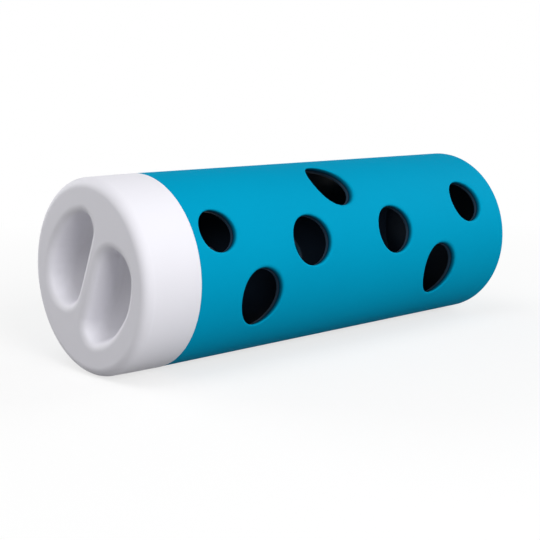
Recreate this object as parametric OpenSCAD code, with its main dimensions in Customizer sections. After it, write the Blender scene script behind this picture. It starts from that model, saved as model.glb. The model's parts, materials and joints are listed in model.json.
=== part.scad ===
// Treat dispensing roll: a soft perforated sleeve over a hard tube, closed by a white twist cap.
// The roll lies along X with the cap at -X, rests on Z = 0, and is centred on the origin.

/* [Roll] */
// Outer diameter of the sleeve and of the cap at its seam
roll_d = 60; // [54:1:76]
// Length over all, from the cap's face to the far end
roll_len = 165; // [140:1:210]

/* [Sleeve] */
// Thickness of the soft wall
sleeve_wall = 2; // [1.5:0.1:3]
// Thickness of the sleeve's closed far end
end_wall = 3; // [2.5:0.1:5]
// Radius of the rounded edge at the far end
end_round = 2; // [1:0.1:2.4]
// Radius of the small round on the sleeve's edge at the seam
seam_round = 0.4; // [0.2:0.05:0.7]
// Depth of the shallow dish in the far end
dish_depth = 1; // [0.5:0.1:1.5]
// Width of the flat rim round the dish, on which the roll can stand
rim_w = 6; // [4:0.5:9]

/* [Tube] */
// Thickness of the hard inner tube
tube_wall = 1.3; // [1:0.1:2]
// How far the tube's holes stand in from the sleeve's holes all round
hole_step = 0.3; // [0.1:0.1:0.8]

/* [Holes] */
// Diameter of the small hole next to the cap
small_hole_d = 12; // [8:0.2:13]
// Diameter of the medium holes
medium_hole_d = 14; // [10:0.2:15]
// Diameter of the large holes
large_hole_d = 15; // [12:0.2:16]
// Distance from the seam to the centre of the first hole
first_hole = 8.8; // [8.8:0.1:14]
// Distance from the far end to the centre of the last hole
last_hole = 19.5; // [18.5:0.1:30]
// Angle up from the side at which the holes run straight through the roll
hole_lean = 16.5; // [0:0.5:30]

/* [End plug] */
// Thickness of the plug's floor
plug_floor = 2; // [1.5:0.1:3]
// Height of the plug's skirt
plug_skirt = 3.5; // [2:0.1:4]
// Thickness of the plug's skirt
plug_wall = 1.5; // [1:0.1:3]

/* [Cap] */
// Length of the cap from its face to the seam
cap_len = 19.5; // [19.3:0.1:24]
// How much smaller the cap's radius is at its face than at its seam
cap_taper = 0.25; // [0:0.05:0.8]
// Radius of the cap's rounded front edge
cap_round = 3; // [2.4:0.1:5]
// Thickness of the cap's side wall
cap_wall = 1.7; // [1.5:0.1:2.2]
// Thickness of the cap's face
face_wall = 1.8; // [1.2:0.1:2.2]

/* [Finger pockets] */
// Depth of each finger pocket
pocket_depth = 9; // [7:0.1:9.2]
// Distance from the cap's centre to the outer edge of a pocket
pocket_reach = 22.4; // [20:0.1:23.4]
// Radius of the narrow end of a pocket
pocket_tip = 6.3; // [5.4:0.1:7.5]
// Radius of the wide end of a pocket
pocket_head = 9.8; // [8.5:0.1:10.4]
// How much each side of a pocket leans in from its lip to its floor
pocket_draft = 2; // [1:0.1:3]
// Radius between a pocket's side and its floor
pocket_fillet = 3; // [2:0.1:3.3]
// Width and depth of the flare at a pocket's lip
lip_flare = 1; // [0.4:0.1:1.2]
// Thickness of the wall behind a pocket
pocket_wall = 1.4; // [1:0.1:1.6]

/* [Liner and seal] */
// Thickness of the liner's side wall
liner_wall = 1; // [0.8:0.1:1.4]
// Thickness of the liner's floor
liner_floor = 1.2; // [0.8:0.1:1.4]
// Thickness of the flat seal
seal_t = 1; // [0.6:0.1:1.2]

/* [Neck and thread] */
// Thickness of the neck's wall under the thread
neck_wall = 2; // [1.5:0.1:3]
// Thickness of the flange that stands on the tube's end
flange_t = 1.4; // [1:0.1:1.6]
// Length of the neck's spigot inside the tube
spigot_len = 1.8; // [1.2:0.1:1.9]
// Number of thread starts
starts = 3; // [2:1:4]
// Advance of the cap in one turn
lead = 12; // [11.4:0.1:13]
// Height of the thread ridges
ridge_h = 1.1; // [0.9:0.05:1.2]
// Width of a ridge at its crest
ridge_crest = 0.8; // [0.5:0.05:1]

/* [Clearances] */
// Gap between the cap and the sleeve at the seam
seam_gap = 0.4; // [0.3:0.05:0.8]
// Running gap between the cap's thread and the neck, all round the ridges
thread_gap = 0.4; // [0.3:0.05:0.5]
// Gap between pieces that are pushed together and fixed
fit_gap = 0.05; // [0.02:0.01:0.1]

/* [Hidden] */
$fn = 96;
// How far a cut runs past a face, and how far joined shapes run into each other
cut = 1;
eps = 0.01;

// Radii, from the outside in
roll_r = roll_d / 2;
tube_bore_r = roll_r - sleeve_wall;
tube_r = tube_bore_r - fit_gap;
chamber_r = tube_r - tube_wall;
cap_in_r = roll_r - cap_wall;
liner_r = cap_in_r - fit_gap;
liner_in_r = liner_r - liner_wall;
crest_r = liner_in_r - thread_gap;
root_r = crest_r - ridge_h;
mouth_r = root_r - neck_wall;
flange_r = min(cap_in_r - thread_gap, tube_r);

// Places along the axis, from the cap's face
sleeve_front = cap_len + seam_gap;
tube_end = roll_len - end_wall;
liner_front = pocket_depth + pocket_wall + fit_gap;
seal_front = liner_front + liner_floor;
neck_front = seal_front + seal_t;
flange_front = sleeve_front - flange_t;
liner_back = flange_front - thread_gap;

// Thread: the ridges fill the room between the seal and the flange
pitch = lead / starts;
ridge_base = pitch / 2 - thread_gap;
ridge_sink = 0.3;
ridge_step = 6;
first_ridge = neck_front + (ridge_base + thread_gap) / 2;
neck_rise = flange_front - ridge_base / 2 - thread_gap - first_ridge;
liner_rise = liner_back - (ridge_base + thread_gap) / 2 - first_ridge;
// Turn that sets the liner's ridges half a pitch behind those of the neck
liner_phase = -180 / starts;

// Holes: share of the way from the first hole to the last, angle round the roll from the line
// of the holes' lean to where the hole's centre line comes out, diameter
hole_rows = [
    [0, 12, small_hole_d],
    [0.13, -29, large_hole_d],
    [0.315, 0, large_hole_d],
    [0.475, 36, medium_hole_d],
    [0.65, 0, large_hole_d],
    [0.85, -30, large_hole_d],
    [1, 13, medium_hole_d],
];
first_hole_x = cap_len + first_hole;
last_hole_x = roll_len - last_hole;

// Finger pockets: angles round the cap, from its right-hand side, of the narrow and the wide end
tip_angle = 96;
head_angle = 187;
pocket_posts = 5;

// Lays a piece that is drawn along Z from the cap's face down along X
module lay_down() {
    translate([-roll_len / 2, 0, roll_r]) rotate([0, 90, 0]) children();
}

// Half section of a ring
module ring_section(r_in, r_out, z0, z1) {
    translate([r_in, z0]) square([r_out - r_in, z1 - z0]);
}

// Half section of a solid round bar with a rounded edge at its front and its back
module bar_section(r, z0, z1, front_round, back_round) {
    intersection() {
        ring_section(0, r, z0, z1);
        union() {
            ring_section(0, r, z0 + front_round, z1 - back_round);
            ring_section(0, r - front_round, z0, z0 + front_round + eps);
            translate([r - front_round, z0 + front_round]) circle(front_round);
            ring_section(0, r - back_round, z1 - back_round - eps, z1);
            translate([r - back_round, z1 - back_round]) circle(back_round);
        }
    }
}

// All the dispensing holes, straight through both sides, each narrowed by a step all round
module holes(step) {
    rotate([0, 0, -90 - hole_lean]) for (row = hole_rows) {
        along = first_hole_x + row[0] * (last_hole_x - first_hole_x);
        across = roll_r * sin(row[1]);
        translate([0, -across, along]) rotate([0, 90, 0])
            cylinder(r = row[2] / 2 - step, h = roll_d + 2 * cut, center = true);
    }
}

// Points of a ridge's four-cornered section at one place along the thread
function ridge_ring(turn, z, r_foot, r_top) = [
    for (corner = [[r_foot, -ridge_base], [r_top, -ridge_crest], [r_top, ridge_crest], [r_foot, ridge_base]])
        [corner[0] * cos(turn), corner[0] * sin(turn), z + corner[1] / 2]
];

// One ridge of the thread, from its foot in the wall to its crest
module ridge(r_foot, r_top, start, rise) {
    sweep = rise * 360 / lead;
    steps = ceil(sweep / ridge_step);
    rings = [for (i = [0 : steps])
        ridge_ring(start + sweep * i / steps, first_ridge + rise * i / steps, r_foot, r_top)];
    last = 4 * steps;
    sides = [for (i = [0 : steps - 1], k = [0 : 3])
        let (a = 4 * i + k, b = 4 * i + (k + 1) % 4)
            each [[a, b, a + 4], [b, b + 4, a + 4]]];
    ends = [[0, 2, 1], [0, 3, 2], [last, last + 1, last + 2], [last, last + 2, last + 3]];
    // Faces turn over where the crest lies inside the foot
    faces = [for (face = concat(sides, ends)) r_top > r_foot ? face : [face[2], face[1], face[0]]];
    polyhedron([for (ring = rings) each ring], faces);
}

// The thread's ridges, one for each start
module ridges(r_foot, r_top, start, rise) {
    for (i = [0 : starts - 1]) ridge(r_foot, r_top, start + 360 * i / starts, rise);
}

// A shape of round posts along one pocket's arc, drawn together; each post is turned from the
// half section of a cone between two heights, with its back edge rounded
module pocket_hull(z0, z1, grow0, grow1, back_round) {
    hull() for (i = [0 : pocket_posts - 1]) {
        share = i / (pocket_posts - 1);
        r = pocket_tip + (pocket_head - pocket_tip) * share;
        turn = tip_angle + (head_angle - tip_angle) * share;
        rotate([0, 0, -90 - turn]) translate([pocket_reach - r, 0, 0]) rotate_extrude($fn = 24) {
            ring_section(0, r + grow0, z0, z0 + eps);
            bar_section(r + grow1, z1 - back_round - eps, z1, 0, back_round);
        }
    }
}

// One finger pocket, grown by a wall all round, from a height down to its floor
module pocket(wall, z0) {
    pocket_hull(z0, pocket_depth + wall, wall - lip_flare, wall - lip_flare - pocket_draft, pocket_fillet);
}

// The flare at a pocket's lip
module pocket_lip() {
    pocket_hull(-lip_flare, lip_flare, lip_flare, -lip_flare, eps);
}

// A thing made twice, half a turn apart round the cap's axis
module pair() {
    for (turn = [0, 180]) rotate([0, 0, turn]) children();
}

module outer_sleeve() color("#00a0cf") lay_down() difference() {
    rotate_extrude() difference() {
        bar_section(roll_r, sleeve_front, roll_len, seam_round, end_round);
        ring_section(0, tube_bore_r, sleeve_front - cut, tube_end);
        dish_r = roll_r - end_round - rim_w;
        polygon([[0, roll_len - dish_depth], [dish_r - dish_depth, roll_len - dish_depth],
                 [dish_r + cut, roll_len + cut], [0, roll_len + cut]]);
    }
    holes(0);
}

module inner_tube() color("#20242e") lay_down() difference() {
    rotate_extrude() ring_section(chamber_r, tube_r, sleeve_front, tube_end - fit_gap);
    holes(hole_step);
}

module end_plug() color("#20242e") lay_down() rotate_extrude() {
    plug_r = chamber_r - fit_gap;
    plug_back = tube_end - fit_gap;
    plug_front = plug_back - plug_floor;
    ring_section(0, plug_r, plug_front, plug_back);
    ring_section(plug_r - plug_wall, plug_r, plug_front - plug_skirt, plug_front + eps);
}

module threaded_neck() color("#2a2f3a") lay_down() {
    rotate_extrude() {
        ring_section(mouth_r, root_r, neck_front, sleeve_front);
        ring_section(mouth_r, flange_r, flange_front, sleeve_front);
        ring_section(mouth_r, chamber_r - fit_gap, sleeve_front - eps, sleeve_front + spigot_len);
    }
    ridges(root_r - ridge_sink, crest_r, 0, neck_rise);
}

module cap_shell() color("#f4f4f8") lay_down() difference() {
    side_end = cap_len - seam_round;
    union() {
        rotate_extrude() difference() {
            union() {
                bar_section(roll_r - cap_taper, 0, side_end, cap_round, 0);
                polygon([[0, cap_round], [roll_r - cap_taper, cap_round], [roll_r, side_end], [0, side_end]]);
                bar_section(roll_r, side_end - eps, cap_len, 0, seam_round);
            }
            bar_section(cap_in_r, face_wall, cap_len + cut, cap_round - cap_wall, 0);
        }
        pair() pocket(pocket_wall, face_wall / 2);
    }
    pair() pocket(0, -cut / 2);
    pair() pocket_lip();
}

module cap_liner() color("#e8e8ee") lay_down() {
    rotate_extrude() {
        ring_section(0, liner_r, liner_front, seal_front);
        ring_section(liner_in_r, liner_r, liner_front, liner_back);
    }
    ridges(liner_in_r + ridge_sink, root_r + thread_gap, liner_phase, liner_rise);
}

module cap_seal() color("#3a3f4a") lay_down()
    rotate_extrude() ring_section(mouth_r, liner_in_r - fit_gap, seal_front, neck_front);

outer_sleeve();
inner_tube();
end_plug();
threaded_neck();
cap_shell();
cap_liner();
cap_seal();
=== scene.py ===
import json
import math

import bmesh
import bpy
import numpy as np
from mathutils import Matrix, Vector


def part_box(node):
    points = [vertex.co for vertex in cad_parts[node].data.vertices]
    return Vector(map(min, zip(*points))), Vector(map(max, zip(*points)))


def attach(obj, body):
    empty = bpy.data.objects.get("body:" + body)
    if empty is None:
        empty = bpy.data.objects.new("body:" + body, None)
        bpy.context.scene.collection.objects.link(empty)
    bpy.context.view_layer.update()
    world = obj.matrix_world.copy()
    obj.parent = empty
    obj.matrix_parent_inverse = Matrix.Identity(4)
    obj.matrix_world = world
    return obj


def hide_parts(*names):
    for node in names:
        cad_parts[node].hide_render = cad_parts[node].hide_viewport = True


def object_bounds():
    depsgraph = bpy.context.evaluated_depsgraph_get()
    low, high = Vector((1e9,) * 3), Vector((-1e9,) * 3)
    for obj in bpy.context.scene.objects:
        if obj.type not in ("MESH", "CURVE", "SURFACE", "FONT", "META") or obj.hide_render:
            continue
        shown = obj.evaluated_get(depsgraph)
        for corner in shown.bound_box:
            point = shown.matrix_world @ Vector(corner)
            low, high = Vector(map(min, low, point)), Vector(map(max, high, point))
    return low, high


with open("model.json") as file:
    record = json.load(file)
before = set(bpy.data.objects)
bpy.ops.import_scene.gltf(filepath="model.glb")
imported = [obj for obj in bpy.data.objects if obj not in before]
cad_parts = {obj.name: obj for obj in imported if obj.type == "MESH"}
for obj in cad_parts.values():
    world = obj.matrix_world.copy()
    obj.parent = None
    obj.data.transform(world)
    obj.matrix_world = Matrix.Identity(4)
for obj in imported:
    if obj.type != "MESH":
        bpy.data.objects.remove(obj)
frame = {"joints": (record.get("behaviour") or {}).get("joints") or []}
cad_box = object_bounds()

# Inner tube: the hard tube that the treats lie in, cut from dark extruded plastic with a satin
# skin and faint draw lines. Seven straight holes run right through it, from the front to the back.
MM = 0.001
near_end, far_end = cad_box[0].x, cad_box[1].x
cap_hinge = next(joint for joint in frame["joints"] if joint["name"] == "cap_turn")
axis_height = cap_hinge["pos_m"][2]
roll_radius = axis_height
sleeve_wall = 2 * MM
fit_gap = 0.05 * MM
tube_radius = roll_radius - sleeve_wall - fit_gap
tube_wall = 1.3 * MM
chamber_radius = tube_radius - tube_wall
tube_front, tube_back = (corner.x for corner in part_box("inner_tube"))
tube_hole_growth = 0.5 * MM
tube_outer_lip, tube_inner_lip = 0.05 * MM, 0.5 * MM
cap_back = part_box("cap_shell")[1].x
SEGMENTS = 240
SAME_PLACE = 0.001 * MM

# The holes: share of the way from the first to the last, angle round the roll, diameter
small_hole, medium_hole, large_hole = 12 * MM, 14 * MM, 15 * MM
first_hole, last_hole = cap_back + 9.4 * MM, far_end - 18.9 * MM
hole_lean = math.radians(16.5)
hole_rows = [
    (0, 12, small_hole),
    (0.13, -29, large_hole),
    (0.315, 0, large_hole),
    (0.475, 36, medium_hole),
    (0.65, 0, large_hole),
    (0.85, -30, large_hole),
    (1, 13, medium_hole),
]
FRONT, BACK = 0, 1


def marked_holes():
    """A mesh of one point for each mouth of each hole, with its place and radius as attributes."""
    rows = [(row, side) for row in hole_rows for side in (FRONT, BACK)]
    places = [(first_hole + row[0] * (last_hole - first_hole),
               roll_radius * math.sin(math.radians(row[1])), side) for row, side in rows]
    mesh = bpy.data.meshes.new("hole_marks")
    mesh.from_pydata(places, [], [])
    hole_place = mesh.attributes.new("hole_place", "FLOAT_VECTOR", "POINT")
    hole_place.data.foreach_set("vector", np.array(places, np.float32).ravel())
    hole_radius = mesh.attributes.new("hole_radius", "FLOAT", "POINT")
    hole_radius.data.foreach_set("value", [row[2] / 2 for row, side in rows])
    return mesh


def put(tree, kind, inputs, **settings):
    """A new node with its settings made, and each input linked to a socket or given a value."""
    made = tree.nodes.new(kind)
    for name, value in settings.items():
        setattr(made, name, value)
    for key, value in inputs.items():
        if isinstance(value, bpy.types.NodeSocket):
            tree.links.new(value, made.inputs[key])
        else:
            made.inputs[key].default_value = value
    return made


def reckon(tree, operation, *values):
    """A number that one Math node works out."""
    return put(tree, "ShaderNodeMath", dict(enumerate(values)), operation=operation).outputs[0]


def joined(tree, x, y, z):
    """A vector of three numbers."""
    return put(tree, "ShaderNodeCombineXYZ", {0: x, 1: y, 2: z}).outputs[0]


def parted(tree, vector):
    """The three numbers of a vector."""
    return put(tree, "ShaderNodeSeparateXYZ", {0: vector}).outputs


def noted(tree, name, data_type):
    """An attribute that was stored on the points under a name."""
    return put(tree, "GeometryNodeInputNamedAttribute", {"Name": name}, data_type=data_type).outputs[0]


def new_tree(name, sockets):
    """An empty node tree with these inputs and one mesh out, and the node that gives the inputs."""
    tree = bpy.data.node_groups.new(name, "GeometryNodeTree")
    for label, kind in sockets.items():
        tree.interface.new_socket(label, in_out="INPUT", socket_type="NodeSocket" + kind)
    tree.interface.new_socket("Mesh", in_out="OUTPUT", socket_type="NodeSocketGeometry")
    return tree, tree.nodes.new("NodeGroupInput").outputs


def close_tree(tree, mesh, material):
    """Ends a tree with a smooth plain mesh in its material."""
    plain = put(tree, "GeometryNodeRealizeInstances", {"Geometry": mesh})
    smooth = put(tree, "GeometryNodeSetShadeSmooth", {"Geometry": plain.outputs[0], "Shade Smooth": True})
    painted = put(tree, "GeometryNodeSetMaterial", {"Geometry": smooth.outputs[0], "Material": material})
    put(tree, "NodeGroupOutput", {0: painted.outputs[0]})


def hole_cutters(tree, given):
    """Round posts with flared ends, one in each mouth, laid out on the flat sheet before it is rolled."""
    sides, lip_steps = 96, 6
    lip_bend = math.radians(80)
    past_face = 1 * MM
    rings = 2 * lip_steps + 3
    post = put(tree, "GeometryNodeMeshCylinder",
               {"Vertices": sides, "Side Segments": rings, "Radius": 1.0, "Depth": 2.0}, fill_type="NGON")
    post = put(tree, "GeometryNodeStoreNamedAttribute",
               {"Geometry": post.outputs["Mesh"], "Name": "unit",
                "Value": put(tree, "GeometryNodeInputPosition", {}).outputs[0]},
               data_type="FLOAT_VECTOR", domain="POINT")
    posts = put(tree, "GeometryNodeInstanceOnPoints",
                {"Points": given["Hole Marks"], "Instance": post.outputs[0]})
    posts = put(tree, "GeometryNodeRealizeInstances", {"Geometry": posts.outputs[0]})

    unit_x, unit_y, unit_z = parted(tree, noted(tree, "unit", "FLOAT_VECTOR"))
    along, across, back = parted(tree, noted(tree, "hole_place", "FLOAT_VECTOR"))
    # Rings are counted from the middle of the wall out to both faces
    count = reckon(tree, "MULTIPLY", reckon(tree, "ABSOLUTE", unit_z), rings / 2)
    step = reckon(tree, "SUBTRACT", count, 0.5)
    bend = reckon(tree, "MULTIPLY", reckon(tree, "MINIMUM", step, lip_steps), lip_bend / lip_steps)
    past = reckon(tree, "MAXIMUM", reckon(tree, "SUBTRACT", step, lip_steps), 0.0)
    outer = reckon(tree, "GREATER_THAN", unit_z, 0.0)
    lip_change = reckon(tree, "SUBTRACT", given["Outer Lip"], given["Inner Lip"])
    lip = reckon(tree, "MULTIPLY_ADD", lip_change, outer, given["Inner Lip"])
    bend_in = reckon(tree, "SUBTRACT", 1.0, reckon(tree, "COSINE", bend))
    bend_up = reckon(tree, "SUBTRACT", reckon(tree, "SINE", bend), 1.0)
    flare = reckon(tree, "MULTIPLY_ADD", past, past_face * math.sin(lip_bend),
                   reckon(tree, "MULTIPLY", lip, bend_in))
    rise = reckon(tree, "MULTIPLY_ADD", past, past_face * math.cos(lip_bend),
                  reckon(tree, "MULTIPLY", lip, bend_up))
    upward = reckon(tree, "MULTIPLY_ADD", outer, 2.0, -1.0)
    floor = reckon(tree, "MULTIPLY", reckon(tree, "SUBTRACT", outer, 1.0), given["Wall"])
    height = reckon(tree, "MULTIPLY_ADD", upward, rise, floor)
    # A hole keeps its line through the roll, so its place round the sheet depends on the depth
    facing = reckon(tree, "MULTIPLY_ADD", back, -2.0, 1.0)
    widened = reckon(tree, "ADD", noted(tree, "hole_radius", "FLOAT"), given["Hole Growth"])
    radius = reckon(tree, "ADD", widened, flare)
    sheet_x = reckon(tree, "MULTIPLY_ADD", radius, unit_x, along)
    offset = reckon(tree, "MULTIPLY_ADD", reckon(tree, "MULTIPLY", radius, unit_y), facing, across)
    depth_radius = reckon(tree, "ADD", given["Outer Radius"], height)
    turn = reckon(tree, "ARCSINE", reckon(tree, "DIVIDE", offset, depth_radius))
    whole_turn = reckon(tree, "MULTIPLY_ADD", turn, facing, reckon(tree, "MULTIPLY", back, math.pi))
    sheet_y = reckon(tree, "MULTIPLY", whole_turn, given["Outer Radius"])
    laid_out = put(tree, "GeometryNodeSetPosition", {
        "Geometry": posts.outputs[0], "Position": joined(tree, sheet_x, sheet_y, height)})
    return laid_out.outputs[0]


def perforated_roll():
    """A flat sheet, cut by the hole posts and then rolled up round the axis and joined at its seam.

    Its points keep how far they lie below the outer face, as the attribute sunk.
    """
    sizes = ["Outer Radius", "Wall", "Front", "Back", "Hole Growth", "Outer Lip", "Inner Lip", "Lean",
             "Axis Height"]
    tree, given = new_tree("perforated_roll", {
        "Hole Marks": "Geometry", **{size: "Float" for size in sizes},
        "Segments Around": "Int", "Steps Along": "Int", "Open Ends": "Float", "Material": "Material"})
    girth = reckon(tree, "MULTIPLY", given["Outer Radius"], 2 * math.pi)
    length = reckon(tree, "SUBTRACT", given["Back"], given["Front"])
    middle_x = reckon(tree, "MULTIPLY", reckon(tree, "ADD", given["Back"], given["Front"]), 0.5)
    # The seam lies a quarter turn below the front holes' line
    middle_y = reckon(tree, "MULTIPLY", girth, 0.25)
    middle_z = reckon(tree, "MULTIPLY", given["Wall"], -0.5)
    sheet = put(tree, "GeometryNodeMeshCube", {
        "Size": joined(tree, length, girth, given["Wall"]),
        "Vertices X": reckon(tree, "ADD", given["Steps Along"], 1.0),
        "Vertices Y": reckon(tree, "ADD", given["Segments Around"], 1.0),
        "Vertices Z": 2})
    sheet = put(tree, "GeometryNodeTransform", {
        "Geometry": sheet.outputs["Mesh"], "Translation": joined(tree, middle_x, middle_y, middle_z)})
    cut = put(tree, "GeometryNodeMeshBoolean",
              {"Mesh 1": sheet.outputs[0], "Mesh 2": hole_cutters(tree, given)},
              operation="DIFFERENCE", solver="EXACT")

    x, y, z = parted(tree, put(tree, "GeometryNodeInputPosition", {}).outputs[0])
    almost_half = 0.4999
    from_middle_y = reckon(tree, "ABSOLUTE", reckon(tree, "SUBTRACT", y, middle_y))
    at_seam = reckon(tree, "GREATER_THAN", from_middle_y, reckon(tree, "MULTIPLY", girth, almost_half))
    from_middle_x = reckon(tree, "ABSOLUTE", reckon(tree, "SUBTRACT", x, middle_x))
    at_end = reckon(tree, "GREATER_THAN", from_middle_x, reckon(tree, "MULTIPLY", length, almost_half))
    open_end = reckon(tree, "MULTIPLY", at_end, given["Open Ends"])
    opened = put(tree, "GeometryNodeDeleteGeometry",
                 {"Geometry": cut.outputs[0], "Selection": reckon(tree, "MAXIMUM", at_seam, open_end)},
                 domain="FACE", mode="ALL")
    angle = reckon(tree, "ADD", reckon(tree, "DIVIDE", y, given["Outer Radius"]), given["Lean"])
    radius = reckon(tree, "ADD", given["Outer Radius"], z)
    frontward = reckon(tree, "MULTIPLY", radius, -1.0)
    rolled_y = reckon(tree, "MULTIPLY", frontward, reckon(tree, "COSINE", angle))
    rolled_z = reckon(tree, "MULTIPLY_ADD", radius, reckon(tree, "SINE", angle), given["Axis Height"])
    sunk = reckon(tree, "MULTIPLY", z, -1.0)
    marked = put(tree, "GeometryNodeStoreNamedAttribute",
                 {"Geometry": opened.outputs[0], "Name": "sunk", "Value": sunk},
                 data_type="FLOAT", domain="POINT")
    rolled = put(tree, "GeometryNodeSetPosition",
                 {"Geometry": marked.outputs[0], "Position": joined(tree, x, rolled_y, rolled_z)})
    merged = put(tree, "GeometryNodeMergeByDistance",
                 {"Geometry": rolled.outputs[0], "Distance": SAME_PLACE})
    close_tree(tree, merged.outputs[0], given["Material"])
    return tree


def grown(name, start, tree, sizes):
    """A piece with the plain mesh that a tree makes of a starting mesh."""
    piece = bpy.data.objects.new(name, start)
    bpy.context.scene.collection.objects.link(piece)
    nodes = piece.modifiers.new(name, "NODES")
    nodes.node_group = tree
    for item in tree.interface.items_tree:
        if item.name in sizes:
            nodes[item.identifier] = sizes[item.name]
    evaluated = piece.evaluated_get(bpy.context.evaluated_depsgraph_get())
    finished = bpy.data.meshes.new_from_object(evaluated)
    piece.modifiers.clear()
    piece.data = finished
    return piece


def crisp_edges(piece, angle):
    """Smooth shading all over, except across edges sharper than an angle in degrees."""
    piece.data.shade_smooth()
    piece.data.set_sharp_from_angle(angle=math.radians(angle))


def moulded(name, pale, deep, patch, smooth, rough, specular, grain, grain_height, drawn=1):
    """A plastic or rubber finish: faint patches of colour and gloss over a fine grain.

    Sizes are in metres, and drawn is how many times longer the grain is along the roll.
    """
    material = bpy.data.materials.new(name)
    material.use_nodes = True
    tree = material.node_tree
    shader = tree.nodes["Principled BSDF"]
    shader.inputs["Specular IOR Level"].default_value = specular
    place = put(tree, "ShaderNodeTexCoord", {}).outputs["Object"]
    clouds = put(tree, "ShaderNodeTexNoise",
                 {"Vector": place, "Scale": 1 / patch, "Detail": 3.0}).outputs[0]
    put(tree, "ShaderNodeMix", {0: clouds, 6: (*deep, 1), 7: (*pale, 1)}, data_type="RGBA", name="colour")
    tree.links.new(tree.nodes["colour"].outputs[2], shader.inputs["Base Color"])
    gloss = put(tree, "ShaderNodeMapRange", {"Value": clouds, "To Min": smooth, "To Max": rough})
    tree.links.new(gloss.outputs[0], shader.inputs["Roughness"])
    stretched = put(tree, "ShaderNodeMapping", {"Vector": place, "Scale": (1 / drawn, 1, 1)})
    pits = put(tree, "ShaderNodeTexNoise",
               {"Vector": stretched.outputs[0], "Scale": 1 / grain, "Detail": 2.0})
    bump = put(tree, "ShaderNodeBump",
               {"Height": pits.outputs[0], "Distance": grain_height, "Strength": 1.0})
    tree.links.new(bump.outputs[0], shader.inputs["Normal"])
    return material


def tinted(material, tint, shares):
    """Paints light or shade into a finish in the holes: mixes a tint in by its share at each depth below
    the outer face.
    """
    tree = material.node_tree
    deepest = max(shares)
    sunk = put(tree, "ShaderNodeAttribute", {}, attribute_name="sunk").outputs["Fac"]
    ramp = put(tree, "ShaderNodeValToRGB", {"Fac": reckon(tree, "DIVIDE", sunk, deepest)})
    stops = ramp.color_ramp.elements
    while len(stops) < len(shares):
        stops.new(1.0)
    for stop, (depth, share) in zip(stops, shares.items()):
        stop.position = depth / deepest
        stop.color = (share, share, share, 1)
    mixed = put(tree, "ShaderNodeMix", {
        0: ramp.outputs["Color"], 6: tree.nodes["colour"].outputs[2], 7: (*tint, 1)}, data_type="RGBA")
    tree.links.new(mixed.outputs[2], tree.nodes["Principled BSDF"].inputs["Base Color"])


def hand_over(piece, body, node):
    """Puts a finished piece on its body, in the place of a CAD node, which it hides."""
    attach(piece, body)
    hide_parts(node)


tube_plastic = moulded("dark_tube_plastic", pale=(0.010, 0.018, 0.031), deep=(0.006, 0.011, 0.020),
                       patch=30 * MM, smooth=0.34, rough=0.44, specular=0.04,
                       grain=0.7 * MM, grain_height=0.02 * MM, drawn=60)
# Painted highlight: the tube's walls in the holes are painted paler than the drawn skin, standing in for
# the light that the hole edges catch
painted_edge_highlight = (0.030, 0.062, 0.100)
tinted(tube_plastic, painted_edge_highlight, {0: 0, 0.1 * MM: 1, 1.0 * MM: 1, 1.25 * MM: 0})
hole_marks = marked_holes()
roll_tree = perforated_roll()
inner_tube = grown("inner_tube_drilled", hole_marks, roll_tree, {
    "Outer Radius": tube_radius, "Wall": tube_wall, "Front": tube_front, "Back": tube_back,
    "Hole Growth": tube_hole_growth, "Outer Lip": tube_outer_lip, "Inner Lip": tube_inner_lip,
    "Lean": hole_lean, "Axis Height": axis_height, "Segments Around": SEGMENTS, "Steps Along": 48,
    "Open Ends": 0.0, "Material": tube_plastic})
crisp_edges(inner_tube, angle=35)
hand_over(inner_tube, "roll", "inner_tube")

# End plug: a shallow cup of the same dark plastic, pressed into the tube's far end with its skirt
# facing in. It closes the chamber, and the sleeve's end wall lies behind it.
plug_front, plug_back = (corner.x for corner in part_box("end_plug"))
plug_floor = 2 * MM
plug_wall = 1.5 * MM
plug_radius = chamber_radius - fit_gap
plug_edge = 0.3 * MM
plug_corner = 0.5 * MM


def rounded(corners, steps=4):
    """Points (along, radius) of a closed outline whose (along, radius, rounding) corners are eased."""
    points = []
    for i, (along, radius, rounding) in enumerate(corners):
        here = Vector((along, radius))
        before = Vector(corners[i - 1][:2])
        after = Vector(corners[(i + 1) % len(corners)][:2])
        start = here + (before - here).normalized() * rounding
        end = here + (after - here).normalized() * rounding
        shares = np.linspace(0, 1, steps + 1) if rounding else [0]
        points += [start * (1 - t) ** 2 + here * 2 * t * (1 - t) + end * t ** 2 for t in shares]
    return points


def rings_round_axis(outline, segments=SEGMENTS):
    """One ring of points round the roll's axis for each (along, radius), starting at the sheet's seam."""
    turns = hole_lean - math.pi / 2 + np.arange(segments) * 2 * math.pi / segments
    along, radius = np.array([tuple(point) for point in outline]).T[:, :, None]
    rings = np.broadcast_arrays(along, -radius * np.cos(turns), axis_height + radius * np.sin(turns))
    return np.stack(rings, axis=-1)


def add_skin(shape, rings, looped):
    """Adds the faces between each ring of points and the next to a shape."""
    made = [[shape.verts.new(point) for point in ring] for ring in rings]
    if looped:
        made.append(made[0])
    for ring, following in zip(made, made[1:]):
        for i in range(len(ring)):
            j = (i + 1) % len(ring)
            shape.faces.new((ring[i], ring[j], following[j], following[i]))


def close_shape(shape, name, material):
    """The mesh of a shape, with its doubles merged and its faces pointing outwards."""
    bmesh.ops.remove_doubles(shape, verts=shape.verts, dist=SAME_PLACE)
    bmesh.ops.recalc_face_normals(shape, faces=shape.faces)
    mesh = bpy.data.meshes.new(name)
    shape.to_mesh(mesh)
    shape.free()
    mesh.materials.clear()
    mesh.materials.append(material)
    return mesh


def turned(name, corners, material, looped):
    """The mesh of a piece turned round the roll's axis; looped where it has a hole along the axis."""
    shape = bmesh.new()
    add_skin(shape, rings_round_axis(rounded(corners)), looped)
    return close_shape(shape, name, material)


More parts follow.
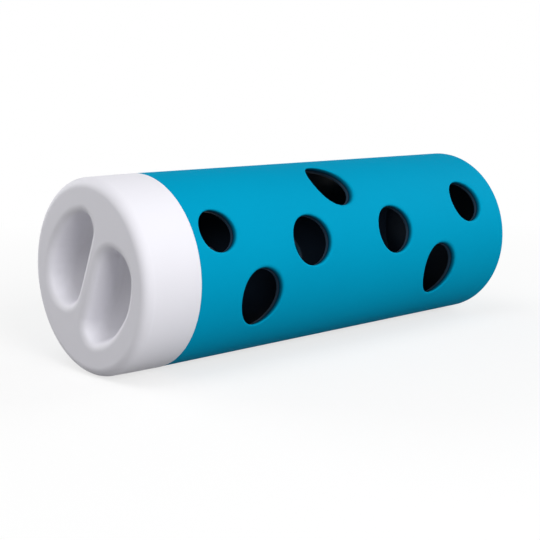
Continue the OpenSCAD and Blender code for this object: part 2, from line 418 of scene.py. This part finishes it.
def placed(name, mesh, sharp_angle):
    """A new object with a mesh that already is where it belongs."""
    piece = bpy.data.objects.new(name, mesh)
    bpy.context.scene.collection.objects.link(piece)
    crisp_edges(piece, sharp_angle)
    return piece


end_plug = placed("end_plug_cup", turned("end_plug_cup", [
    (plug_back - plug_floor, 0, 0),
    (plug_back - plug_floor, plug_radius - plug_wall, plug_corner),
    (plug_front, plug_radius - plug_wall, plug_edge),
    (plug_front, plug_radius, plug_edge),
    (plug_back, plug_radius, plug_edge),
    (plug_back, 0, 0),
], tube_plastic, looped=False), sharp_angle=40)
hand_over(end_plug, "roll", "end_plug")

# Outer sleeve: the soft blue cover, moulded in one piece with a closed far end and stretched over
# the tube. Its holes lie over the tube's and have soft rounded lips, and a dish fills its far end.
seam_gap = 0.1 * MM
sleeve_front = cap_back + seam_gap
cover_drop = 0.06 * MM
cover_radius = roll_radius - cover_drop
end_round = 2 * MM
seam_round = 0.2 * MM
rim_width = 6 * MM
dish_depth = 1 * MM
dish_edge = 0.8 * MM
dish_radius = cover_radius - end_round - rim_width
bore_radius = roll_radius - sleeve_wall
sheet_front, sheet_back = sleeve_front + seam_round, tube_back + fit_gap
sleeve_hole_growth = 0.6 * MM
sleeve_outer_lip, sleeve_inner_lip = 0.8 * MM, 0.1 * MM

sleeve_rubber = moulded("soft_blue_rubber", pale=(0.0, 0.311, 0.515), deep=(0.0, 0.281, 0.474),
                        patch=45 * MM, smooth=0.62, rough=0.74, specular=0.01,
                        grain=0.25 * MM, grain_height=0.006 * MM)
# Painted shade: the rubber's colour is darkened towards navy as it turns down into a hole, standing in
# for the shade inside the holes
painted_hole_shade = (0.0, 0.045, 0.095)
tinted(sleeve_rubber, painted_hole_shade, {0.1 * MM: 0, 1.8 * MM: 1})
outer_sleeve = grown("outer_sleeve_soft", hole_marks, roll_tree, {
    "Outer Radius": cover_radius, "Wall": cover_radius - bore_radius, "Front": sheet_front,
    "Back": sheet_back, "Hole Growth": sleeve_hole_growth, "Outer Lip": sleeve_outer_lip,
    "Inner Lip": sleeve_inner_lip, "Lean": hole_lean, "Axis Height": axis_height,
    "Segments Around": SEGMENTS, "Steps Along": 72, "Open Ends": 1.0, "Material": sleeve_rubber})

# The near edge and the closed far end carry on from the sheet's open ends
ROUND_STEPS = 6
quarter = np.linspace(0, math.pi / 2, ROUND_STEPS + 1)
near_edge = [(sheet_front, bore_radius), (sleeve_front, bore_radius)]
near_edge += [(sheet_front - seam_round * math.sin(a), cover_radius - seam_round * (1 - math.cos(a)))
              for a in reversed(quarter)]
far_cap = [(sheet_back, cover_radius)]
far_cap += [(far_end - end_round * (1 - math.sin(a)), cover_radius - end_round * (1 - math.cos(a)))
            for a in quarter]
far_cap += rounded([
    (far_end, dish_radius + rim_width / 2, 0),
    (far_end, dish_radius, dish_edge),
    (far_end - dish_depth, dish_radius - dish_depth, dish_edge),
    (far_end - dish_depth, 0, 0),
])
far_cap += [(sheet_back, 0), (sheet_back, bore_radius)]
sleeve_shape = bmesh.new()
sleeve_shape.from_mesh(outer_sleeve.data)
for outline in (near_edge, far_cap):
    add_skin(sleeve_shape, rings_round_axis(outline), looped=False)
outer_sleeve.data = close_shape(sleeve_shape, "outer_sleeve_soft", sleeve_rubber)
crisp_edges(outer_sleeve, angle=40)
hand_over(outer_sleeve, "roll", "outer_sleeve")

# Threaded neck: a ring of dark satin plastic, glued into the tube's near end by its spigot, with a
# flange on the tube's edge, three coarse thread ridges outside and the filling mouth inside.
neck_front, neck_back = (corner.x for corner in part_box("threaded_neck"))
flange_width = 1.4 * MM
flange_front = tube_front - flange_width
thread_gap = 0.4 * MM
cap_wall, liner_wall, neck_wall = 1.7 * MM, 1 * MM, 2 * MM
ridge_height = 1.1 * MM
cap_bore = roll_radius - cap_wall
liner_radius = cap_bore - fit_gap
liner_bore = liner_radius - liner_wall
crest_radius = liner_bore - thread_gap
root_radius = crest_radius - ridge_height
mouth_radius = root_radius - neck_wall
flange_radius = min(cap_bore - thread_gap, tube_radius)
STARTS = 3
lead = 12 * MM
ridge_crest = 0.8 * MM
ridge_base = lead / STARTS / 2 - thread_gap
ridge_sink = 0.3 * MM
first_ridge = neck_front + (ridge_base + thread_gap) / 2
neck_edge, neck_lip, mouth_edge, flange_edge = 0.3 * MM, 0.4 * MM, 0.5 * MM, 0.1 * MM
neck_rise = flange_front - ridge_base / 2 - thread_gap - first_ridge


def threaded_ring():
    """A turned ring with thread ridges, each one swept along a helix and tapered at its ends."""
    sizes = ["First", "Rise", "Lead", "Phase", "Foot Radius", "Outward", "Height", "Base", "Crest",
             "Run Out", "Least", "Axis Height"]
    tree, given = new_tree("threaded_ring", {
        "Ring": "Geometry", **{size: "Float" for size in sizes},
        "Starts": "Int", "Steps": "Int", "Material": "Material"})
    line = put(tree, "GeometryNodeCurvePrimitiveLine", {})
    path = put(tree, "GeometryNodeResampleCurve",
               {"Curve": line.outputs[0], "Count": given["Steps"]}, mode="COUNT")
    share = put(tree, "GeometryNodeSplineParameter", {}).outputs["Factor"]
    climb = reckon(tree, "MULTIPLY", share, given["Rise"])
    turned_by = reckon(tree, "MULTIPLY", reckon(tree, "DIVIDE", climb, given["Lead"]), 2 * math.pi)
    angle = reckon(tree, "ADD", turned_by, given["Phase"])
    out_y = reckon(tree, "SINE", angle)
    out_z = reckon(tree, "MULTIPLY", reckon(tree, "COSINE", angle), -1.0)
    helix = put(tree, "GeometryNodeSetPosition", {
        "Geometry": path.outputs[0],
        "Position": joined(tree, reckon(tree, "ADD", climb, given["First"]),
                           reckon(tree, "MULTIPLY", out_y, given["Foot Radius"]),
                           reckon(tree, "MULTIPLY", out_z, given["Foot Radius"]))})
    helix = put(tree, "GeometryNodeSetCurveNormal",
                {"Curve": helix.outputs[0], "Normal": joined(tree, 0.0, out_y, out_z)}, mode="FREE")
    # Section of a ridge: its crest away from the wall, its foot in it
    height = reckon(tree, "MULTIPLY", given["Height"], given["Outward"])
    half_crest = reckon(tree, "MULTIPLY", reckon(tree, "MULTIPLY", given["Crest"], 0.5), given["Outward"])
    half_base = reckon(tree, "MULTIPLY", reckon(tree, "MULTIPLY", given["Base"], 0.5), given["Outward"])
    section = put(tree, "GeometryNodeCurvePrimitiveQuadrilateral", {
        "Point 1": joined(tree, height, reckon(tree, "MULTIPLY", half_crest, -1.0), 0.0),
        "Point 2": joined(tree, height, half_crest, 0.0),
        "Point 3": joined(tree, 0.0, half_base, 0.0),
        "Point 4": joined(tree, 0.0, reckon(tree, "MULTIPLY", half_base, -1.0), 0.0)}, mode="POINTS")
    from_end = reckon(tree, "MINIMUM", share, reckon(tree, "SUBTRACT", 1.0, share))
    swell = reckon(tree, "MINIMUM", reckon(tree, "DIVIDE", from_end, given["Run Out"]), 1.0)
    ridge = put(tree, "GeometryNodeCurveToMesh", {
        "Curve": helix.outputs[0], "Profile Curve": section.outputs[0],
        "Scale": reckon(tree, "MAXIMUM", swell, given["Least"]), "Fill Caps": True})
    starts = put(tree, "GeometryNodeMeshLine", {"Count": given["Starts"], "Offset": (0, 0, 0)})
    number = put(tree, "GeometryNodeInputIndex", {}).outputs[0]
    part_turn = reckon(tree, "DIVIDE", reckon(tree, "MULTIPLY", number, 2 * math.pi), given["Starts"])
    turn = put(tree, "FunctionNodeEulerToRotation", {0: joined(tree, part_turn, 0.0, 0.0)})
    ridges = put(tree, "GeometryNodeInstanceOnPoints", {
        "Points": starts.outputs[0], "Instance": ridge.outputs[0], "Rotation": turn.outputs[0]})
    ridges = put(tree, "GeometryNodeRealizeInstances", {"Geometry": ridges.outputs[0]})
    raised = put(tree, "GeometryNodeTransform", {
        "Geometry": ridges.outputs[0], "Translation": joined(tree, 0.0, 0.0, given["Axis Height"])})
    whole = put(tree, "GeometryNodeMeshBoolean", {"Mesh 2": given["Ring"]},
                operation="UNION", solver="EXACT")
    tree.links.new(raised.outputs[0], whole.inputs["Mesh 2"])
    close_tree(tree, whole.outputs[0], given["Material"])
    return tree


neck_plastic = moulded("satin_neck_plastic", pale=(0.030, 0.034, 0.047), deep=(0.018, 0.021, 0.031),
                       patch=20 * MM, smooth=0.36, rough=0.48, specular=0.5,
                       grain=0.3 * MM, grain_height=0.004 * MM)
neck_ring = turned("threaded_neck_ring", [
    (neck_front, mouth_radius, mouth_edge),
    (neck_front, root_radius, neck_lip),
    (flange_front, root_radius, neck_edge),
    (flange_front, flange_radius, neck_edge),
    (tube_front, flange_radius, flange_edge),
    (tube_front, plug_radius, 0),
    (neck_back, plug_radius, neck_edge),
    (neck_back, mouth_radius, mouth_edge),
], neck_plastic, looped=True)
thread_tree = threaded_ring()
thread_sizes = {
    "First": first_ridge, "Lead": lead, "Height": ridge_height + ridge_sink,
    "Base": ridge_base, "Crest": ridge_crest, "Run Out": 0.12, "Least": 0.15,
    "Axis Height": axis_height, "Starts": STARTS, "Steps": 48}
threaded_neck = grown("threaded_neck_ring", neck_ring, thread_tree, {
    **thread_sizes, "Rise": neck_rise, "Phase": 0.0, "Foot Radius": root_radius - ridge_sink,
    "Outward": 1.0, "Material": neck_plastic})
crisp_edges(threaded_neck, angle=35)
hand_over(threaded_neck, "roll", "threaded_neck")

# Cap seal: a flat ring of soft dark rubber, laid in the bottom of the cap's liner. The neck's front
# edge closes against it, and its grip keeps the cap from working loose.
seal_front, seal_back = (corner.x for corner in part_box("cap_seal"))
seal_radius = liner_bore - fit_gap
seal_edge = 0.25 * MM
seal_rubber = moulded("dark_seal_rubber", pale=(0.060, 0.064, 0.076), deep=(0.042, 0.046, 0.058),
                      patch=12 * MM, smooth=0.62, rough=0.78, specular=0.3,
                      grain=0.2 * MM, grain_height=0.004 * MM)
cap_seal = placed("cap_seal_ring", turned("cap_seal_ring", [
    (seal_front, mouth_radius, seal_edge),
    (seal_front, seal_radius, seal_edge),
    (seal_back, seal_radius, seal_edge),
    (seal_back, mouth_radius, seal_edge),
], seal_rubber, looped=True), sharp_angle=50)
hand_over(cap_seal, "seal", "cap_seal")

# Cap liner: a shallow threaded cup of white satin plastic, welded into the cap. Its floor covers
# the backs of the finger pockets, and its ridges run in the neck's thread.
liner_front, liner_back = (corner.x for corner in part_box("cap_liner"))
liner_floor_back = seal_front
liner_edge, liner_front_edge, liner_corner = 0.25 * MM, 0.4 * MM, 0.2 * MM
liner_plastic = moulded("satin_liner_plastic", pale=(0.80, 0.80, 0.83), deep=(0.75, 0.75, 0.785),
                        patch=18 * MM, smooth=0.38, rough=0.5, specular=0.4,
                        grain=0.3 * MM, grain_height=0.004 * MM)
liner_cup = turned("cap_liner_cup", [
    (liner_front, 0, 0),
    (liner_front, liner_radius, liner_front_edge),
    (liner_back, liner_radius, liner_edge),
    (liner_back, liner_bore, liner_edge),
    (liner_floor_back, liner_bore, liner_corner),
    (liner_floor_back, 0, 0),
], liner_plastic, looped=False)
cap_liner = grown("cap_liner_cup", liner_cup, thread_tree, {
    **thread_sizes, "Rise": liner_back - (ridge_base + thread_gap) / 2 - first_ridge,
    "Phase": -math.pi / STARTS, "Foot Radius": liner_bore + ridge_sink, "Outward": -1.0,
    "Material": liner_plastic})
crisp_edges(cap_liner, angle=35)
hand_over(cap_liner, "cap", "cap_liner")

# Cap shell: the white twist cap, a matt injection moulding with a softly rounded front edge. Two
# comma-shaped finger pockets leave an S-shaped bar between them, by which the cap is turned.
cap_face = near_end
cap_taper = 0.25 * MM
cap_round = 3 * MM
face_wall = 1.8 * MM
inner_round = 1.3 * MM
mouth_round = 0.2 * MM
pocket_depth = 9 * MM
pocket_wall = 1.4 * MM
tip_reach, middle_reach, head_reach = 22.2 * MM, 22.0 * MM, 23.9 * MM
tip_radius, head_radius = 7.3 * MM, 10.8 * MM
tip_angle, head_angle = math.radians(97), math.radians(187)
lip_round = 2.7 * MM
floor_round = 2.6 * MM
side_lean = math.radians(80)
end_rise = 0.6
CAP_SEGMENTS = 320
FACE_RINGS, EDGE_RINGS, BACK_RINGS = 108, 14, 50


def pocket_profile(inset, depth):
    """Depth at a distance inside a pocket's outline: a rounded lip, a leaning side, a scooped floor."""
    lip_run, lip_drop = lip_round * math.sin(side_lean), lip_round * (1 - math.cos(side_lean))
    floor_run, floor_drop = floor_round * math.sin(side_lean), floor_round * (1 - math.cos(side_lean))
    side_run = (depth - lip_drop - floor_drop) / math.tan(side_lean)
    on_lip = np.clip(inset, 0, lip_run)
    lip = lip_round - np.sqrt(lip_round ** 2 - on_lip ** 2)
    side = np.clip(inset - lip_run, 0, side_run) * math.tan(side_lean)
    to_go = np.clip(lip_run + side_run + floor_run - inset, 0, floor_run)
    floor = floor_drop - (floor_round - np.sqrt(floor_round ** 2 - to_go ** 2))
    return lip + side + floor


def pocket_depths(across, up, wall):
    """Depth of the two finger pockets, grown by a wall, at points of the cap's face.

    A pocket's outline is drawn taut round circles along an arc, from its narrow end to its wide one, and
    its floor rises towards both ends.
    """
    circles, directions = 13, 720
    share = np.linspace(0, 1, circles)
    radius = np.interp(share, [0, 1], [tip_radius, head_radius])
    reach = np.interp(share, [0, 0.5, 1], [tip_reach, middle_reach, head_reach])
    turn = np.interp(share, [0, 1], [tip_angle, head_angle])
    centre = (reach - radius) * np.array([np.cos(turn), np.sin(turn)])
    aim = np.arange(directions) * 2 * math.pi / directions
    aim = np.array([np.cos(aim), np.sin(aim)])
    taut = (centre.T @ aim + radius[:, None]).max(axis=0)
    along_aim = np.multiply.outer(across, aim[0]) + np.multiply.outer(up, aim[1])
    first_inset, second_inset = (taut - along_aim).min(axis=-1), (taut + along_aim).min(axis=-1)
    inset = np.maximum(first_inset, second_inset)
    # Place along the nearer pocket, from -1 at its wide end to 1 at its narrow end
    lengthwise = centre[:, 0] - centre[:, -1]
    lengthwise = lengthwise / np.linalg.norm(lengthwise)
    tip_end = centre[:, 0] @ lengthwise + tip_radius
    head_end = centre[:, -1] @ lengthwise - head_radius
    place = np.where(first_inset > second_inset, 1, -1) * (across * lengthwise[0] + up * lengthwise[1])
    place = np.clip((2 * place - tip_end - head_end) / (tip_end - head_end), -1, 1)
    return pocket_profile(inset + wall, pocket_depth + wall) * (1 - end_rise * place ** 2)


def cap_rings():
    """Rings of points from the middle of the face, over the edge, along the side and back inside."""
    face_radius = roll_radius - cap_taper
    flat = [(0, radius) for radius in np.linspace(0, face_radius - cap_round, FACE_RINGS)]
    edge = [(cap_round * (1 - math.cos(a)), face_radius - cap_round * (1 - math.sin(a)))
            for a in np.linspace(0, math.pi / 2, EDGE_RINGS + 1)[1:]]
    cap_length = cap_back - cap_face
    # The last corner only aims the rounding before it
    skirt = rounded([
        (cap_length / 2, roll_radius - cap_taper / 2, 0),
        (cap_length, roll_radius, seam_round),
        (cap_length, cap_bore, mouth_round),
        (face_wall, cap_bore, inner_round),
        (face_wall, 0, 0),
    ])[:-1]
    back_start = skirt[-1].y
    back = [(face_wall, radius) for radius in np.linspace(back_start, 0, BACK_RINGS)[1:]]
    outline = flat + edge + skirt + back
    rings = rings_round_axis(outline, CAP_SEGMENTS)
    for i in range(len(flat)):
        rings[i, :, 0] = pocket_depths(-rings[i, :, 1], rings[i, :, 2] - axis_height, 0)
    for i in range(len(outline) - len(back), len(outline)):
        backs = pocket_depths(-rings[i, :, 1], rings[i, :, 2] - axis_height, pocket_wall)
        rings[i, :, 0] = np.maximum(face_wall, backs)
    rings[:, :, 0] += cap_face
    return rings


cap_plastic = moulded("matt_white_plastic", pale=(0.785, 0.777, 0.83), deep=(0.755, 0.747, 0.80),
                      patch=40 * MM, smooth=0.5, rough=0.62, specular=0.2,
                      grain=0.3 * MM, grain_height=0.006 * MM)
cap_shape = bmesh.new()
add_skin(cap_shape, cap_rings(), looped=False)
cap_mesh = close_shape(cap_shape, "cap_shell_moulding", cap_plastic)
cap_shell = placed("cap_shell_moulding", cap_mesh, sharp_angle=45)
hand_over(cap_shell, "cap", "cap_shell")

# Studio: a plain white floor that keeps a soft shadow and fades to white, a soft lamp in front of the
# roll, weaker ones above the cap, behind it and beyond the far end, and a little light all round.
FLOOR_HALF = 6.0
FLOOR_DROP = 0.02 * MM
fade_start, fade_end, least_white = 0.10, 0.35, 0.7
bounce_tone, seen_tone = (0.32, 0.32, 0.32, 1), (0.95, 0.95, 0.95, 1)
floor_mesh = bpy.data.meshes.new("studio_floor")
floor_mesh.from_pydata([(-FLOOR_HALF, -FLOOR_HALF, 0), (FLOOR_HALF, -FLOOR_HALF, 0),
                        (FLOOR_HALF, FLOOR_HALF, 0), (-FLOOR_HALF, FLOOR_HALF, 0)], [], [(0, 1, 2, 3)])
studio_floor = bpy.data.objects.new("studio_floor", floor_mesh)
bpy.context.scene.collection.objects.link(studio_floor)
studio_floor.location.z = -FLOOR_DROP


def seen_directly(tree):
    """1 for what the camera sees, straight or by way of a reflection or a see-through surface."""
    path = put(tree, "ShaderNodeLightPath", {}).outputs
    seen = reckon(tree, "MAXIMUM", path["Is Camera Ray"], path["Is Glossy Ray"])
    return reckon(tree, "MAXIMUM", seen, path["Is Transmission Ray"])


floor_paint = bpy.data.materials.new("white_floor")
floor_paint.use_nodes = True
floor_tree = floor_paint.node_tree
floor_shader = floor_tree.nodes["Principled BSDF"]
floor_shader.inputs["Roughness"].default_value = 0.9
floor_shader.inputs["Specular IOR Level"].default_value = 0.0
floor_place = put(floor_tree, "ShaderNodeTexCoord", {}).outputs["Object"]
floor_reach = put(floor_tree, "ShaderNodeVectorMath", {0: floor_place},
                  operation="LENGTH").outputs["Value"]
floor_fade = put(floor_tree, "ShaderNodeMapRange", {
    "Value": floor_reach, "From Min": fade_start, "From Max": fade_end,
    "To Min": least_white, "To Max": 1.0}).outputs[0]
floor_seen = seen_directly(floor_tree)
floor_tone = put(floor_tree, "ShaderNodeMix", {
    0: floor_seen, 6: bounce_tone, 7: seen_tone}, data_type="RGBA")
floor_tree.links.new(floor_tone.outputs[2], floor_shader.inputs["Base Color"])
floor_white = put(floor_tree, "ShaderNodeEmission", {"Strength": 1.0})
floor_mix = put(floor_tree, "ShaderNodeMixShader", {
    0: reckon(floor_tree, "MULTIPLY", floor_fade, floor_seen),
    1: floor_shader.outputs[0], 2: floor_white.outputs[0]})
floor_tree.links.new(floor_mix.outputs[0], floor_tree.nodes["Material Output"].inputs["Surface"])
floor_mesh.materials.append(floor_paint)

AROUND_STRENGTH = 0.22
LAMP_DISTANCE = 0.9
world = bpy.data.worlds.new("studio_light")
world.use_nodes = True
bpy.context.scene.world = world
sky = world.node_tree.nodes["Background"]
sky.inputs["Color"].default_value = (1, 1, 1, 1)
sky_strength = reckon(world.node_tree, "MULTIPLY_ADD", seen_directly(world.node_tree),
                      1 - AROUND_STRENGTH, AROUND_STRENGTH)
world.node_tree.links.new(sky_strength, sky.inputs["Strength"])


def soft_lamp(name, direction, width, power):
    """A square lamp that faces the middle of the roll from a direction."""
    lamp = bpy.data.lights.new(name, "AREA")
    lamp.size = width
    lamp.energy = power
    holder = bpy.data.objects.new(name, lamp)
    bpy.context.scene.collection.objects.link(holder)
    away = Vector(direction).normalized()
    holder.location = Vector((0, 0, axis_height)) + away * LAMP_DISTANCE
    holder.rotation_euler = away.to_track_quat("Z", "Y").to_euler()


soft_lamp("front_lamp", direction=(-0.22, -0.91, 0.34), width=0.4, power=5.8)
soft_lamp("top_lamp", direction=(-0.45, -0.12, 0.88), width=0.5, power=2.3)
soft_lamp("back_lamp", direction=(-0.36, 0.9, 0.25), width=0.6, power=4.3)
soft_lamp("end_lamp", direction=(0.9, -0.2, 0.4), width=0.6, power=3.0)

# Camera: placed and aimed as the outline, the seam and the holes of the roll in the photograph ask.
camera_place = Vector((-260.62, -275.56, 86.91)) * MM
camera_aim = Vector((0.66473, 0.72845, -0.16581))
camera_data = bpy.data.cameras.new("camera")
camera_data.lens = 74.134
camera_data.sensor_width = 36
camera_data.clip_start = 10 * MM
camera = bpy.data.objects.new("camera", camera_data)
bpy.context.scene.collection.objects.link(camera)
camera.location = camera_place
camera.rotation_euler = camera_aim.to_track_quat("-Z", "Y").to_euler()
bpy.context.scene.camera = camera
bpy.context.scene.view_settings.view_transform = "Standard"
